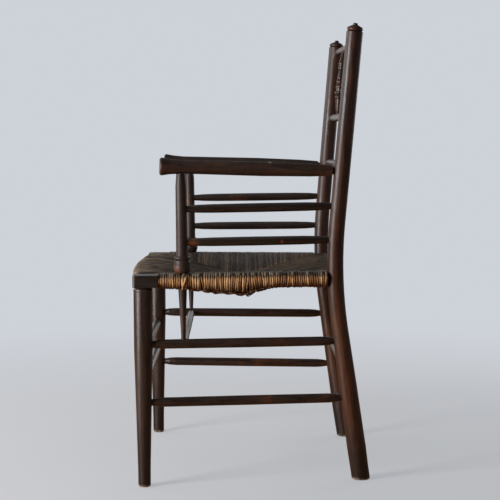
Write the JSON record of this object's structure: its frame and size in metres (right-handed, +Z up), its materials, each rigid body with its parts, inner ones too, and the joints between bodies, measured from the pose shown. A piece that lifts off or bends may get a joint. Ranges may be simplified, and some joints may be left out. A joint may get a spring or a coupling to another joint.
{
  "type": "rush-seated armchair",
  "caption": "Turned wooden armchair with a woven rush seat, bent rear posts, open arms on turned supports and a low spindle back.",
  "frame": {"origin": "on the floor, under the middle of the chair's box", "axes": "+Z up, the chair faces -Y, +X is the sitter's left"},
  "size_m": [0.524, 0.4587, 0.8601],
  "materials": {
    "stained_wood": "dark stained turned hardwood, satin, worn to brown on the edges",
    "block_wood": "dark stained hardwood block, nearly matt",
    "rail_wood": "plain sawn hardwood, hidden in the rush",
    "rush": "twisted rush strands, straw brown, darkened with use"
  },
  "bodies": {
    "root": {"arm_left": "stained_wood", "arm_rail_lower_left": "stained_wood", "arm_rail_lower_right": "stained_wood", "arm_rail_upper_left": "stained_wood", "arm_rail_upper_right": "stained_wood", "arm_right": "stained_wood", "arm_support_left": "stained_wood", "arm_support_right": "stained_wood", "back_rail_lower": "stained_wood", "back_rail_middle": "stained_wood", "back_rail_top": "stained_wood", "back_spindle_left": "stained_wood", "back_spindle_middle": "stained_wood", "back_spindle_right": "stained_wood", "corner_block_left": "block_wood", "corner_block_right": "block_wood", "cross_stretcher": "stained_wood", "front_leg_left": "stained_wood", "front_leg_right": "stained_wood", "front_stretcher_lower": "stained_wood", "front_stretcher_upper": "stained_wood", "rear_post_left": "stained_wood", "rear_post_right": "stained_wood", "rear_stretcher": "stained_wood", "rush_panel_front": "rush", "rush_panel_left": "rush", "rush_panel_rear": "rush", "rush_panel_right": "rush", "seat_rail_front": "rail_wood", "seat_rail_left": "rail_wood", "seat_rail_rear": "rail_wood", "seat_rail_right": "rail_wood", "side_stretcher_lower_left": "stained_wood", "side_stretcher_lower_right": "stained_wood", "side_stretcher_upper_left": "stained_wood", "side_stretcher_upper_right": "stained_wood"}
  },
  "joints": []
}
